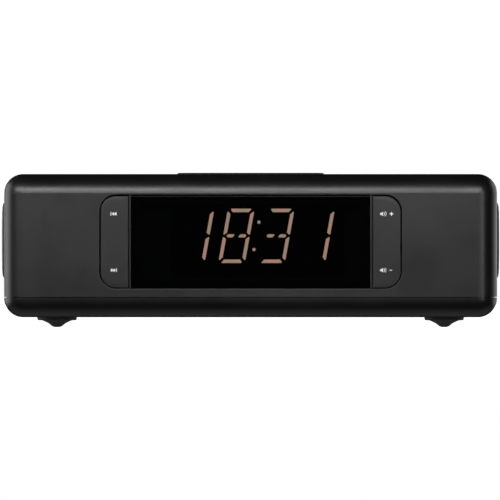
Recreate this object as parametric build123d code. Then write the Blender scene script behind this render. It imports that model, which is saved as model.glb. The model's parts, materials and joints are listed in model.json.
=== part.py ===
from build123d import *
import math
import os

# Clock radio, millimetres.  +X is right as seen from the front, the front faces -Y, +Z is up.
# The origin is on the table, at the centre of the footprint.

# ---------------------------------------------------------------- driving dimensions
BODY_WIDTH = 204.0
BODY_DEPTH = 112.0
BODY_HEIGHT = 59.3
FOOT_HEIGHT = 4.2
EDGE_RADIUS = 8.0
WALL = 2.2
SEAM_Z = 12.65  # lower edge of the upper half
SEAM_GAP = 0.35

OPENING_WIDTH = 124.55  # front opening that holds both keys and the window
OPENING_HEIGHT = 38.6
OPENING_CENTRE_Z = 35.45
OPENING_RADIUS = 6.8
KEY_GAP = 0.42  # beside each key
KEY_TOP_GAP = 0.5
KEY_BOTTOM_GAP = 0.28
RIM_RADIUS = 0.3  # eased rims of the front opening and of the key openings on top
KEY_INNER_X = 50.42
MULLION_X = (49.4, 50.1)  # inner and outer side of the thin bar between window and key
KEY_PLATE = 2.4
KEY_EDGE_BAND = 1.5  # the face of each key falls away by KEY_EDGE_FALL over this border
KEY_EDGE_FALL = 0.045
KEY_EDGE_RADIUS = 0.2
KEY_RECESS = 0.04  # of the faces of both keys behind the front of the case
KEY_SWITCH_OFFSET = 12.0  # height of each switch above and below the pivot

WINDOW_WIDTH = 98.7
WINDOW_LOW_Z = 16.3
WINDOW_HIGH_Z = 54.2
WINDOW_THICKNESS = 1.9

DIGIT_CENTRES_X = (-22.49, -5.86, 10.66, 27.3)
DIGIT_CENTRE_Z = 37.9
DIGIT_SLANT = math.tan(math.radians(10.2))
SEGMENT_DEPTH = 1.0
COLON_X = 2.4
COLON_RADIUS = 0.7
COLON_OFFSET = 5.65
# Corners (x, z) of the bars about the centre of an upright figure, before it leans.
TOP_BAR = [
    (-3.95, 11.24), (3.95, 11.24), (4.22, 10.9), (3.3, 9.76), (-3.3, 9.76), (-4.22, 10.9),
]
UPRIGHT_BAR = [
    (5.53, 0.65), (5.53, 9.65), (5.3, 9.95), (5.0, 9.95), (4.07, 8.85), (4.07, 1.3), (5.2, 0.45),
]
MIDDLE_HALF_BAR = [
    (-4.1, 0.0), (-3.6, 0.68), (-1.2, 0.68), (-0.8, 0.3), (-1.6, -0.68), (-3.5, -0.68),
]
LIT_BY_DIGIT = ("bc", "abcdefg", "abcdg", "bc")

SNOOZE_LENGTH = 61.2
SNOOZE_DEPTH = 30.0
SNOOZE_CENTRE_Y = -23.0
SNOOZE_RISE = 0.65
SNOOZE_TRAVEL = 0.7

TOP_KEY_LENGTH = 15.0
TOP_KEY_DEPTH = 9.0
TOP_KEY_CENTRE_Y = -20.0
TOP_KEY_RISE = 0.3
TOP_KEY_TRAVEL = 0.6
TOP_KEYS = {"mode_key": -64.0, "alarm_one_key": -45.0, "alarm_two_key": 45.0, "set_key": 64.0}
SLIDE_GAP = 0.3  # round every top key and the snooze bar

SPEAKER_Y = -4.0
SPEAKER_Z = 36.1
GRILLE_LENGTH = 64.0
GRILLE_HEIGHT = 32.0
GRILLE_BULGE = 1.55
GRILLE_CORNER = 7.0
GRILLE_SHEET = 0.8
CONE_RADIUS = 13.6

FOOT_X = 80.5  # the front pair; the rear pair stands wider
REAR_FOOT_X = 82.9
FOOT_Y = 36.0
FOOT_PLACES = {
    "front_left": (-FOOT_X, -FOOT_Y),
    "front_right": (FOOT_X, -FOOT_Y),
    "rear_left": (-REAR_FOOT_X, FOOT_Y),
    "rear_right": (REAR_FOOT_X, FOOT_Y),
}
FOOT_TIP_RADIUS = 1.0
# Points (radius, drop below the body) of the bell of each foot.
FOOT_BELL = [(7.4, 1.38), (5.75, 1.6), (4.6, 2.13), (3.55, 2.65), (2.75, 3.25), (1.75, 3.95)]
CASE_SCREW_X = 90.0
CASE_SCREW_Y = 44.0

DOOR_WIDTH = 56.0
DOOR_LENGTH = 30.0
DOOR_THICKNESS = 1.6
DOOR_TRAVEL = 5.5
BATTERY_CENTRE_Y = 10.0
CELL_RADIUS = 5.25
CELL_LENGTH = 44.5

BOARD = 1.6
MAIN_BOARD_Z = 22.3  # underside
TOP_BOARD_Z = 52.3  # underside
JACK_PANEL_WIDTH = 95.6
JACK_PANEL_HEIGHT = 25.6
JACK_PANEL_Z = 31.3

# ---------------------------------------------------------------- derived positions
BODY_BOTTOM = FOOT_HEIGHT
BODY_TOP = BODY_BOTTOM + BODY_HEIGHT
FRONT_Y = -BODY_DEPTH / 2
BACK_Y = BODY_DEPTH / 2
SIDE_X = BODY_WIDTH / 2
INNER_FRONT_Y = FRONT_Y + WALL
INNER_BACK_Y = BACK_Y - WALL
INNER_SIDE_X = SIDE_X - WALL
INNER_TOP_Z = BODY_TOP - WALL
INNER_BOTTOM_Z = BODY_BOTTOM + WALL
OPENING_LOW_Z = OPENING_CENTRE_Z - OPENING_HEIGHT / 2
OPENING_HIGH_Z = OPENING_CENTRE_Z + OPENING_HEIGHT / 2

KEY_BACK_Y = FRONT_Y + KEY_PLATE
PIVOT_Y = -51.6
PIVOT_RADIUS = 0.75
KEY_CENTRE_X = 56.4
EAR_X = (52.3, 61.1)  # centres of the two ears that hold each pivot pin
EAR_THICKNESS = 1.4

WINDOW_FRONT_Y = FRONT_Y + 0.1
WINDOW_BACK_Y = WINDOW_FRONT_Y + WINDOW_THICKNESS
LEDGE_BACK_Y = -52.2
WING_FRONT_Y = -49.0
WING_BACK_Y = -47.4
DISPLAY_BOARD_Y = -46.2  # front face of the display board
HOUSING_FRONT_Y = -52.0
FRAME_LOW_Z = 15.3
FRAME_HIGH_Z = 55.8
FRAME_TAB_X = 69.5
FRAME_TAB_Z = (22.3, 48.8)

SWITCH_BODY = 6.0
SWITCH_HEIGHT = 3.5
PLUNGER_HEIGHT = 1.0
TOP_BOARD_TOP_Z = TOP_BOARD_Z + BOARD
TOP_PLUNGER_Z = TOP_BOARD_TOP_Z + SWITCH_HEIGHT + PLUNGER_HEIGHT
MAIN_BOARD_TOP_Z = MAIN_BOARD_Z + BOARD
TOP_BOARD_SCREWS = [(x, y) for x in (-54.5, 54.5) for y in (-32.0, -8.0)]
MAIN_BOARD_SCREWS = [(x, y) for x in (-57.0, 57.0) for y in (-29.0, 45.0)]
SNOOZE_SPRING_X = 22.0

SPEAKER_SEAT_X = 96.5  # front face of each speaker flange
SPEAKER_SCREW_OFFSET = 19.6
TERMINAL_Z = 15.5
WIRE_RADIUS = 0.6


# ---------------------------------------------------------------- shape helpers
def prism_z(width, depth, radius, z_low, z_high, x=0.0, y=0.0):
    """An upright prism with a rounded rectangle as its plan."""
    outline = Pos(x, y, z_low) * RectangleRounded(width, depth, radius)
    return extrude(outline, z_high - z_low)


def prism_y(width, height, radius, y_front, y_back, x=0.0, z=0.0):
    """A prism along Y with a rounded rectangle as its front view."""
    plane = Plane(origin=(x, y_back, z), x_dir=(1, 0, 0), z_dir=(0, -1, 0))
    return extrude(plane * RectangleRounded(width, height, radius), y_back - y_front)


def prism_x(length, height, radius, x_low, x_high, y=0.0, z=0.0):
    """A prism along X with a rounded rectangle as its side view."""
    plane = Plane(origin=(x_low, y, z), x_dir=(0, 1, 0), z_dir=(1, 0, 0))
    return extrude(plane * RectangleRounded(length, height, radius), x_high - x_low)


def block(x_low, x_high, y_low, y_high, z_low, z_high):
    centre = ((x_low + x_high) / 2, (y_low + y_high) / 2, (z_low + z_high) / 2)
    return Pos(*centre) * Box(x_high - x_low, y_high - y_low, z_high - z_low)


def rod_z(radius, z_low, z_high, x=0.0, y=0.0):
    return Pos(x, y, (z_low + z_high) / 2) * Cylinder(radius, z_high - z_low)


def rod_y(radius, y_low, y_high, x=0.0, z=0.0):
    return Pos(x, (y_low + y_high) / 2, z) * Rot(90, 0, 0) * Cylinder(radius, y_high - y_low)


def rod_x(radius, x_low, x_high, y=0.0, z=0.0):
    return Pos((x_low + x_high) / 2, y, z) * Rot(0, 90, 0) * Cylinder(radius, x_high - x_low)


def spun_about_x(points, y, z):
    """A solid of revolution about a line along X, from (x, radius) points."""
    outline = make_face(Polyline(*[(px, radius, 0) for px, radius in points], close=True))
    return Pos(0, y, z) * revolve(outline, Axis.X)


def mirrored(shape):
    return mirror(shape, about=Plane.YZ)


def group(shapes):
    """Separate solids that share one node."""
    return Compound(children=[solid for shape in shapes for solid in shape.solids()])


def save(name, shape):
    export_step(shape, f"parts/{name}.step")


# ---------------------------------------------------------------- case
def case_block(inset):
    """The whole rounded body, shrunk by inset on every side."""
    body = prism_z(
        BODY_WIDTH - 2 * inset,
        BODY_DEPTH - 2 * inset,
        EDGE_RADIUS - inset,
        BODY_BOTTOM + inset,
        BODY_TOP - inset,
    )
    rims = body.faces().sort_by(Axis.Z)[0].edges() + body.faces().sort_by(Axis.Z)[-1].edges()
    return fillet(rims, EDGE_RADIUS - inset - 0.01)


def case_ring(outer_inset, inner_inset, z_low, z_high):
    """A band that follows the case wall between two insets."""
    bands = [
        prism_z(
            BODY_WIDTH - 2 * inset,
            BODY_DEPTH - 2 * inset,
            EDGE_RADIUS - inset,
            z_low,
            z_high,
        )
        for inset in (outer_inset, inner_inset)
    ]
    return bands[0] - bands[1]


def case_screw_places():
    return [(x, y) for x in (-CASE_SCREW_X, CASE_SCREW_X) for y in (-CASE_SCREW_Y, CASE_SCREW_Y)]


def speaker_screw_places():
    offsets = (-SPEAKER_SCREW_OFFSET, SPEAKER_SCREW_OFFSET)
    return [(SPEAKER_Y + dy, SPEAKER_Z + dz) for dy in offsets for dz in offsets]


def mullion():
    """The thin upright bar of the case between the window and the right hand key."""
    overlap = 2 * RIM_RADIUS
    bar = block(*MULLION_X, FRONT_Y, INNER_FRONT_Y, OPENING_LOW_Z - overlap,
                OPENING_HIGH_Z + overlap)
    front_edges = bar.faces().sort_by(Axis.Y)[0].edges().filter_by(Axis.Z)
    return fillet(front_edges, 0.12)


def upper_case():
    half = block(-SIDE_X, SIDE_X, FRONT_Y, BACK_Y, SEAM_Z, BODY_TOP)
    shell = (case_block(0.0) & half) - case_block(WALL)
    shell -= case_ring(1.05, WALL + 0.2, SEAM_Z - 1, SEAM_Z + 2.1)

    cuts = [
        prism_y(OPENING_WIDTH, OPENING_HEIGHT, OPENING_RADIUS, FRONT_Y - 1, INNER_FRONT_Y + 0.1,
                z=OPENING_CENTRE_Z),
        prism_z(SNOOZE_LENGTH + 2 * SLIDE_GAP, SNOOZE_DEPTH + 2 * SLIDE_GAP, 5.3,
                INNER_TOP_Z - 1, BODY_TOP + 1, y=SNOOZE_CENTRE_Y),
        prism_y(JACK_PANEL_WIDTH + 0.4, JACK_PANEL_HEIGHT + 0.4, 3.2, INNER_BACK_Y - 0.1,
                BACK_Y + 1, z=JACK_PANEL_Z),
    ]
    for x in TOP_KEYS.values():
        cuts.append(prism_z(TOP_KEY_LENGTH + 2 * SLIDE_GAP, TOP_KEY_DEPTH + 2 * SLIDE_GAP, 2.8,
                            INNER_TOP_Z - 1, BODY_TOP + 1, x=x, y=TOP_KEY_CENTRE_Y))
    grille_hole = prism_x(GRILLE_LENGTH + 0.3, GRILLE_HEIGHT + 0.3, GRILLE_CORNER + 0.15,
                          INNER_SIDE_X - 0.1, SIDE_X + 1, y=SPEAKER_Y, z=SPEAKER_Z)
    cuts += [grille_hole, mirrored(grille_hole)]
    shell -= cuts
    opening_rim = [
        edge for edge in shell.faces().sort_by(Axis.Y)[0].inner_wires()[0].edges()
    ]
    top_rims = [
        edge for wire in shell.faces().sort_by(Axis.Z)[-1].inner_wires() for edge in wire.edges()
    ]
    shell = fillet(opening_rim + top_rims, RIM_RADIUS)

    bosses = [mullion(), mirrored(mullion())]
    pilots = []
    for x, y in case_screw_places():
        bosses.append(rod_z(3.2, SEAM_Z + 2.4, INNER_TOP_Z + 0.5, x, y))
        pilots.append(rod_z(1.3, SEAM_Z + 1, SEAM_Z + 14, x, y))
    for x, y in TOP_BOARD_SCREWS:
        bosses.append(rod_z(2.4, TOP_BOARD_TOP_Z, INNER_TOP_Z + 0.5, x, y))
        pilots.append(rod_z(1.0, TOP_BOARD_TOP_Z - 1, INNER_TOP_Z + 0.4, x, y))
    for x in (-FRAME_TAB_X, FRAME_TAB_X):
        for z in FRAME_TAB_Z:
            bosses.append(rod_y(2.4, INNER_FRONT_Y - 0.5, WING_FRONT_Y, x, z))
            pilots.append(rod_y(1.0, INNER_FRONT_Y - 0.4, WING_FRONT_Y + 1, x, z))
    for y, z in speaker_screw_places():
        boss = rod_x(2.0, SPEAKER_SEAT_X, INNER_SIDE_X + 0.5, y, z)
        pilot = rod_x(1.0, SPEAKER_SEAT_X - 1, INNER_SIDE_X + 0.4, y, z)
        bosses += [boss, mirrored(boss)]
        pilots += [pilot, mirrored(pilot)]
    return (shell + bosses) - pilots


def battery_recess():
    """The space that the door slides in, with its side grooves."""
    front = BATTERY_CENTRE_Y - DOOR_LENGTH / 2 - 0.3
    back = BATTERY_CENTRE_Y + DOOR_LENGTH / 2 + DOOR_TRAVEL + 0.5
    half = DOOR_WIDTH / 2 + 0.3
    pocket = block(-half, half, front, back, BODY_BOTTOM - 1, BODY_BOTTOM + DOOR_THICKNESS + 0.2)
    grooves = block(-half - 1.0, half + 1.0, front, back, BODY_BOTTOM + 0.5, BODY_BOTTOM + 1.7)
    return pocket + grooves


def lower_case():
    half = block(-SIDE_X, SIDE_X, FRONT_Y, BACK_Y, BODY_BOTTOM - 1, SEAM_Z - SEAM_GAP)
    tray = (case_block(0.0) & half) - case_block(WALL)
    tongue = case_ring(1.15, WALL, SEAM_Z - SEAM_GAP - 0.01, SEAM_Z + 1.8)

    posts = [rod_z(3.2, INNER_BOTTOM_Z - 0.5, SEAM_Z + 2.3, x, y) for x, y in case_screw_places()]
    posts += [rod_z(3.0, INNER_BOTTOM_Z - 0.5, MAIN_BOARD_Z, x, y) for x, y in MAIN_BOARD_SCREWS]
    floor_pad = block(-32, 32, -8, 34, INNER_BOTTOM_Z - 0.5, INNER_BOTTOM_Z + 1.4)
    box_outer = block(-28.3, 28.3, -3.7, 23.7, INNER_BOTTOM_Z + 0.9, BODY_BOTTOM + 14.6)
    box_inner = block(-26.5, 26.5, -1.9, 21.9, BODY_BOTTOM + 1.1, BODY_BOTTOM + 13.1)
    base = (tray + tongue + posts + floor_pad + box_outer) - box_inner

    cuts = [battery_recess()]
    for x, y in case_screw_places():
        cuts.append(rod_z(1.6, BODY_BOTTOM - 1, SEAM_Z + 3, x, y))
        cuts.append(rod_z(2.9, BODY_BOTTOM - 1, SEAM_Z - 1.5, x, y))
    for x, y in MAIN_BOARD_SCREWS:
        cuts.append(rod_z(1.0, MAIN_BOARD_Z - 9, MAIN_BOARD_Z + 1, x, y))
    for x, y in FOOT_PLACES.values():
        cuts.append(rod_z(2.5, BODY_BOTTOM - 1, INNER_BOTTOM_Z + 1, x, y))
    vent_pitch = 5.0
    for side in (-1, 1):
        for index in range(7):
            x = side * (38.0 + vent_pitch * index)
            cuts.append(prism_z(2.0, 16.0, 0.95, BODY_BOTTOM - 1, INNER_BOTTOM_Z + 1, x, -14.0))
    return base - cuts


def case_screws():
    screws = []
    for x, y in case_screw_places():
        head = rod_z(2.7, SEAM_Z - 3.6, SEAM_Z - 1.5, x, y) - prism_z(
            1.9, 1.9, 0.2, SEAM_Z - 4, SEAM_Z - 2.6, x, y)
        screws.append(head + rod_z(1.25, SEAM_Z - 1.6, SEAM_Z + 12, x, y))
    return group(screws)


def foot(x, y):
    """Soft bell with a flange, held by a barbed stem that is pushed through the floor."""
    top = BODY_BOTTOM
    bell = Spline(*[(radius, top - drop) for radius, drop in FOOT_BELL])
    tip_corner = (FOOT_TIP_RADIUS, 0)
    outline = [
        Line((0, 0), tip_corner),
        Line(tip_corner, (FOOT_BELL[-1][0], top - FOOT_BELL[-1][1])),
        bell,
        Polyline((FOOT_BELL[0][0], top - FOOT_BELL[0][1]), (7.9, top - 1.3), (8.15, top - 1.0),
                 (8.3, top - 0.1), (8.2, top), (2.4, top), (2.4, INNER_BOTTOM_Z),
                 (3.1, INNER_BOTTOM_Z), (2.0, INNER_BOTTOM_Z + 1.4), (0, INNER_BOTTOM_Z + 1.4),
                 (0, 0)),
    ]
    section = Plane.XZ * make_face(outline)
    return Pos(x, y, 0) * revolve(section, Axis.Z)


# ---------------------------------------------------------------- front
def key_outline(y_front, y_back):
    """The part of the front opening, less its gaps, that the right hand key fills."""
    height = OPENING_HEIGHT - KEY_TOP_GAP - KEY_BOTTOM_GAP
    whole = prism_y(OPENING_WIDTH - 2 * KEY_GAP, height, OPENING_RADIUS - KEY_GAP, y_front, y_back,
                    z=OPENING_CENTRE_Z + (KEY_BOTTOM_GAP - KEY_TOP_GAP) / 2)
    return whole & block(KEY_INNER_X, SIDE_X, y_front, y_back, BODY_BOTTOM, BODY_TOP)


def volume_key():
    face_y = FRONT_Y + KEY_RECESS
    plate = key_outline(face_y, KEY_BACK_Y)
    front = plate.faces().sort_by(Axis.Y)[0]
    plate = chamfer(front.edges(), KEY_EDGE_BAND, KEY_EDGE_FALL, reference=front)
    rim = [
        edge for edge in plate.edges()
        if abs(edge.center().Y - face_y - KEY_EDGE_FALL) < 0.01 and edge.length > 0.5
    ]
    plate = fillet(rim, KEY_EDGE_RADIUS)
    left, right = EAR_X[0] + EAR_THICKNESS / 2 + 0.3, EAR_X[1] - EAR_THICKNESS / 2 - 0.3
    web = block(left, right, KEY_BACK_Y - 0.2, PIVOT_Y, OPENING_CENTRE_Z - 1.9,
                OPENING_CENTRE_Z + 1.9)
    hub = rod_x(1.9, left, right, PIVOT_Y, OPENING_CENTRE_Z)
    studs = [
        rod_y(1.5, KEY_BACK_Y - 0.2, KEY_BACK_Y + 1.7, KEY_CENTRE_X, OPENING_CENTRE_Z + dz)
        for dz in (-KEY_SWITCH_OFFSET, KEY_SWITCH_OFFSET)
    ]
    bore = rod_x(PIVOT_RADIUS + 0.05, left - 1, right + 1, PIVOT_Y, OPENING_CENTRE_Z)
    return (plate + web + hub + studs) - bore


def volume_key_pin():
    return rod_x(PIVOT_RADIUS, EAR_X[0] - EAR_THICKNESS / 2, EAR_X[1] + EAR_THICKNESS / 2,
                 PIVOT_Y, OPENING_CENTRE_Z)


def display_window():
    height = WINDOW_HIGH_Z - WINDOW_LOW_Z
    pane = prism_y(WINDOW_WIDTH, height, 0.5, WINDOW_FRONT_Y, WINDOW_BACK_Y,
                   z=WINDOW_LOW_Z + height / 2)
    return fillet(pane.faces().sort_by(Axis.Y)[0].edges(), 0.15)


def display_frame():
    """Holds the window from behind and carries both rocker keys on its wings."""
    outer_half = KEY_INNER_X - 0.4
    neck_half = MULLION_X[0] - 0.1
    ledge = prism_y(2 * outer_half, FRAME_HIGH_Z - FRAME_LOW_Z, 1.0, INNER_FRONT_Y + 0.05,
                    LEDGE_BACK_Y, z=(FRAME_LOW_Z + FRAME_HIGH_Z) / 2)
    neck = block(-neck_half, neck_half, WINDOW_BACK_Y, INNER_FRONT_Y + 0.06, WINDOW_LOW_Z,
                 WINDOW_HIGH_Z)
    walls = prism_y(2 * outer_half, FRAME_HIGH_Z - FRAME_LOW_Z, 1.0, LEDGE_BACK_Y - 0.1,
                    WING_BACK_Y, z=(FRAME_LOW_Z + FRAME_HIGH_Z) / 2)
    wings = prism_y(144.0, FRAME_HIGH_Z - FRAME_LOW_Z, 2.0, WING_FRONT_Y, WING_BACK_Y,
                    z=(FRAME_LOW_Z + FRAME_HIGH_Z) / 2)
    hollow = prism_y(96.0, FRAME_HIGH_Z - FRAME_LOW_Z - 3.0, 1.0, LEDGE_BACK_Y, WING_BACK_Y + 1,
                     z=(FRAME_LOW_Z + FRAME_HIGH_Z) / 2)
    view = prism_y(92.0, 32.0, 1.0, FRONT_Y - 1, LEDGE_BACK_Y + 1,
                   z=(WINDOW_LOW_Z + WINDOW_HIGH_Z) / 2)
    frame = (ledge + neck + walls + wings) - hollow - view

    ears = []
    cuts = []
    for side in (-1, 1):
        for x in EAR_X:
            low, high = side * x - EAR_THICKNESS / 2, side * x + EAR_THICKNESS / 2
            ears.append(block(low, high, PIVOT_Y, WING_FRONT_Y + 0.2, OPENING_CENTRE_Z - 1.6,
                              OPENING_CENTRE_Z + 1.6))
            ears.append(rod_x(1.6, low, high, PIVOT_Y, OPENING_CENTRE_Z))
        cuts.append(rod_x(PIVOT_RADIUS, side * KEY_CENTRE_X - 6, side * KEY_CENTRE_X + 6,
                          PIVOT_Y, OPENING_CENTRE_Z))
        for dz in (-KEY_SWITCH_OFFSET, KEY_SWITCH_OFFSET):
            cuts.append(prism_y(SWITCH_BODY + 1, SWITCH_BODY + 1, 0.5, WING_FRONT_Y - 1,
                                WING_BACK_Y + 1, side * KEY_CENTRE_X, OPENING_CENTRE_Z + dz))
        for z in FRAME_TAB_Z:
            cuts.append(rod_y(1.2, WING_FRONT_Y - 1, WING_BACK_Y + 1, side * FRAME_TAB_X, z))
    return (frame + ears) - cuts


def slanted(x_centre, x, z):
    """A point of a figure, given about its centre, leaned over by the slant."""
    return (x_centre + x + z * DIGIT_SLANT, DIGIT_CENTRE_Z + z)


def segment(x_centre, corners):
    """One bar of a figure: its outline, made solid behind the face of the housing."""
    points = [slanted(x_centre, x, z) for x, z in corners]
    plane = Plane(origin=(0, HOUSING_FRONT_Y + SEGMENT_DEPTH, 0), x_dir=(1, 0, 0),
                  z_dir=(0, -1, 0))
    return extrude(plane * make_face(Polyline(*points, close=True)), SEGMENT_DEPTH)


def turned(corners, x_sign, z_sign):
    return [(x_sign * x, z_sign * z) for x, z in corners]


def digit_segments(x_centre):
    """The bars of one figure by their usual letters; the middle bar is in two halves."""
    outlines = {
        "a": [TOP_BAR],
        "b": [UPRIGHT_BAR],
        "c": [turned(UPRIGHT_BAR, 1, -1)],
        "d": [turned(TOP_BAR, 1, -1)],
        "e": [turned(UPRIGHT_BAR, -1, -1)],
        "f": [turned(UPRIGHT_BAR, -1, 1)],
        "g": [MIDDLE_HALF_BAR, turned(MIDDLE_HALF_BAR, -1, -1)],
    }
    return {
        letter: [segment(x_centre, corners) for corners in bars]
        for letter, bars in outlines.items()
    }


def display_bars():
    """The lit and the unlit bars of all four figures, with the two dots of the colon."""
    lit, unlit = [], []
    for x_centre, letters in zip(DIGIT_CENTRES_X, LIT_BY_DIGIT):
        for letter, bars in digit_segments(x_centre).items():
            chosen = lit if letter in letters else unlit
            chosen.extend(bars)
    for dz in (-COLON_OFFSET, COLON_OFFSET):
        x, z = slanted(COLON_X, 0, dz)
        lit.append(rod_y(COLON_RADIUS, HOUSING_FRONT_Y, HOUSING_FRONT_Y + SEGMENT_DEPTH, x, z))
    return lit, unlit


def segment_housing(bars):
    body = prism_y(72.0, 30.0, 1.0, HOUSING_FRONT_Y, DISPLAY_BOARD_Y, 2.7, DIGIT_CENTRE_Z)
    return body - bars


def display_board():
    board = prism_y(128.0, FRAME_HIGH_Z - FRAME_LOW_Z - 1, 1.0, DISPLAY_BOARD_Y,
                    DISPLAY_BOARD_Y + BOARD, z=(FRAME_LOW_Z + FRAME_HIGH_Z) / 2)
    notches = []
    for side in (-1, 1):
        for z in FRAME_TAB_Z:
            notches.append(rod_y(4.5, DISPLAY_BOARD_Y - 1, DISPLAY_BOARD_Y + 3,
                                 side * FRAME_TAB_X, z))
            spacer_x = side * 48.2
            notches.append(rod_y(1.2, DISPLAY_BOARD_Y - 1, DISPLAY_BOARD_Y + 3, spacer_x, z))
    return board - notches


def front_switches():
    switches = []
    for side in (-1, 1):
        for dz in (-KEY_SWITCH_OFFSET, KEY_SWITCH_OFFSET):
            x, z = side * KEY_CENTRE_X, OPENING_CENTRE_Z + dz
            body_front = DISPLAY_BOARD_Y - SWITCH_HEIGHT
            body = prism_y(SWITCH_BODY, SWITCH_BODY, 0.6, body_front, DISPLAY_BOARD_Y, x, z)
            plunger = rod_y(1.7, body_front - PLUNGER_HEIGHT - 0.3, body_front + 0.2, x, z)
            switches.append(body + plunger)
    return group(switches)


# ---------------------------------------------------------------- top keys
def sliding_cap(length, depth, radius, top_z, stud_z, x, y, crown):
    """A hollow key top with a retaining flange under the case wall and a stud for its switch."""
    cap = prism_z(length, depth, radius, INNER_TOP_Z - 0.2, top_z, x, y)
    cap = fillet(cap.faces().sort_by(Axis.Z)[-1].edges(), crown)
    flange = prism_z(length + 3.0, depth + 3.0, radius + 0.8, INNER_TOP_Z - 1.25,
                     INNER_TOP_Z - 0.05, x, y)
    hollow = prism_z(length - 3.2, depth - 3.2, max(radius - 1.6, 0.5), INNER_TOP_Z - 2,
                     top_z - 1.6, x, y)
    stud = rod_z(1.5, stud_z, top_z - 1.0, x, y)
    return cap + flange - hollow + stud


def snooze_bar():
    bar = sliding_cap(SNOOZE_LENGTH, SNOOZE_DEPTH, 5.0, BODY_TOP + SNOOZE_RISE,
                      TOP_PLUNGER_Z + SNOOZE_TRAVEL + 0.1, 0, SNOOZE_CENTRE_Y, 0.7)
    guides = [
        rod_z(1.2, INNER_TOP_Z - 1.0, BODY_TOP, x, SNOOZE_CENTRE_Y)
        for x in (-SNOOZE_SPRING_X, SNOOZE_SPRING_X)
    ]
    return bar + guides


def top_key(x):
    return sliding_cap(TOP_KEY_LENGTH, TOP_KEY_DEPTH, 2.5, BODY_TOP + TOP_KEY_RISE,
                       TOP_PLUNGER_Z + TOP_KEY_TRAVEL + 0.1, x, TOP_KEY_CENTRE_Y, 0.4)


def snooze_springs():
    wire, coil_radius, turns = 0.2, 2.0, 5
    z_low = TOP_BOARD_TOP_Z + wire
    z_high = BODY_TOP + SNOOZE_RISE - 1.6 - wire
    height = z_high - z_low
    coil = Helix(pitch=height / turns, height=height, radius=coil_radius)
    section = Plane(origin=coil @ 0, z_dir=coil % 0) * Circle(wire)
    spring = sweep(section, path=coil)
    return group([
        Pos(x, SNOOZE_CENTRE_Y, z_low) * spring for x in (-SNOOZE_SPRING_X, SNOOZE_SPRING_X)
    ])


def top_board():
    board = prism_z(148.0, 35.0, 2.0, TOP_BOARD_Z, TOP_BOARD_TOP_Z, y=-20.5)
    return board - [rod_z(1.2, TOP_BOARD_Z - 1, TOP_BOARD_TOP_Z + 1, x, y)
                    for x, y in TOP_BOARD_SCREWS]


def top_switches():
    places = [(0.0, SNOOZE_CENTRE_Y)] + [(x, TOP_KEY_CENTRE_Y) for x in TOP_KEYS.values()]
    switches = []
    for x, y in places:
        body_top = TOP_BOARD_TOP_Z + SWITCH_HEIGHT
        body = prism_z(SWITCH_BODY, SWITCH_BODY, 0.6, TOP_BOARD_TOP_Z, body_top, x, y)
        switches.append(body + rod_z(1.7, body_top - 0.2, TOP_PLUNGER_Z, x, y))
    return group(switches)


# ---------------------------------------------------------------- main board and sockets
def main_board():
    board = prism_z(124.0, 84.0, 2.0, MAIN_BOARD_Z, MAIN_BOARD_TOP_Z, y=8.0)
    return board - [rod_z(1.2, MAIN_BOARD_Z - 1, MAIN_BOARD_TOP_Z + 1, x, y)
                    for x, y in MAIN_BOARD_SCREWS]


def on_board(width, depth, height, x, y):
    return prism_z(width, depth, 0.4, MAIN_BOARD_TOP_Z, MAIN_BOARD_TOP_Z + height, x, y)


def tuner_shield():
    can = on_board(24.0, 20.0, 6.0, 30.0, 16.0)
    return can - prism_z(23.2, 19.2, 0.3, MAIN_BOARD_TOP_Z - 1, MAIN_BOARD_TOP_Z + 5.6, 30.0, 16.0)


def capacitors():
    cans = [(-50.0, 30.0, 5.0, 16.0), (-50.0, 17.0, 4.0, 12.0), (-40.0, 17.0, 4.0, 12.0),
            (-52.0, 4.0, 3.0, 8.0), (-44.0, 4.0, 3.0, 8.0)]
    shapes = []
    for x, y, radius, height in cans:
        can = rod_z(radius, MAIN_BOARD_TOP_Z, MAIN_BOARD_TOP_Z + height, x, y)
        shapes.append(fillet(can.faces().sort_by(Axis.Z)[-1].edges(), 0.5))
    return group(shapes)


RIBBON_HALF = 0.3
RIBBON_X = {"display": -16.0, "top": 20.0}
RIBBON_WIDTH = 14.0
DISPLAY_SOCKET_Z = 32.3
DISPLAY_RIBBON_Y = -26.0
TOP_RIBBON_Y = -8.0
SOCKET_TOP_Z = MAIN_BOARD_TOP_Z + 5.0
WIRE_Y = (-5.5, -2.5)


def board_sockets():
    """The plug-in sockets for both ribbons and for the speaker wires."""
    board_back = DISPLAY_BOARD_Y + BOARD
    sockets = [
        block(RIBBON_X["display"] - 8, RIBBON_X["display"] + 8, board_back, board_back + 4,
              DISPLAY_SOCKET_Z - 2, DISPLAY_SOCKET_Z + 2),
        on_board(16, 4, 5, RIBBON_X["display"], DISPLAY_RIBBON_Y),
        on_board(16, 4, 5, RIBBON_X["top"], TOP_RIBBON_Y),
        prism_z(16, 4, 0.4, TOP_BOARD_Z - 4, TOP_BOARD_Z, RIBBON_X["top"], TOP_RIBBON_Y),
        on_board(6, 8, 6, -57, -4),
        on_board(6, 8, 6, 57, -4),
    ]
    return group(sockets)


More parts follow.
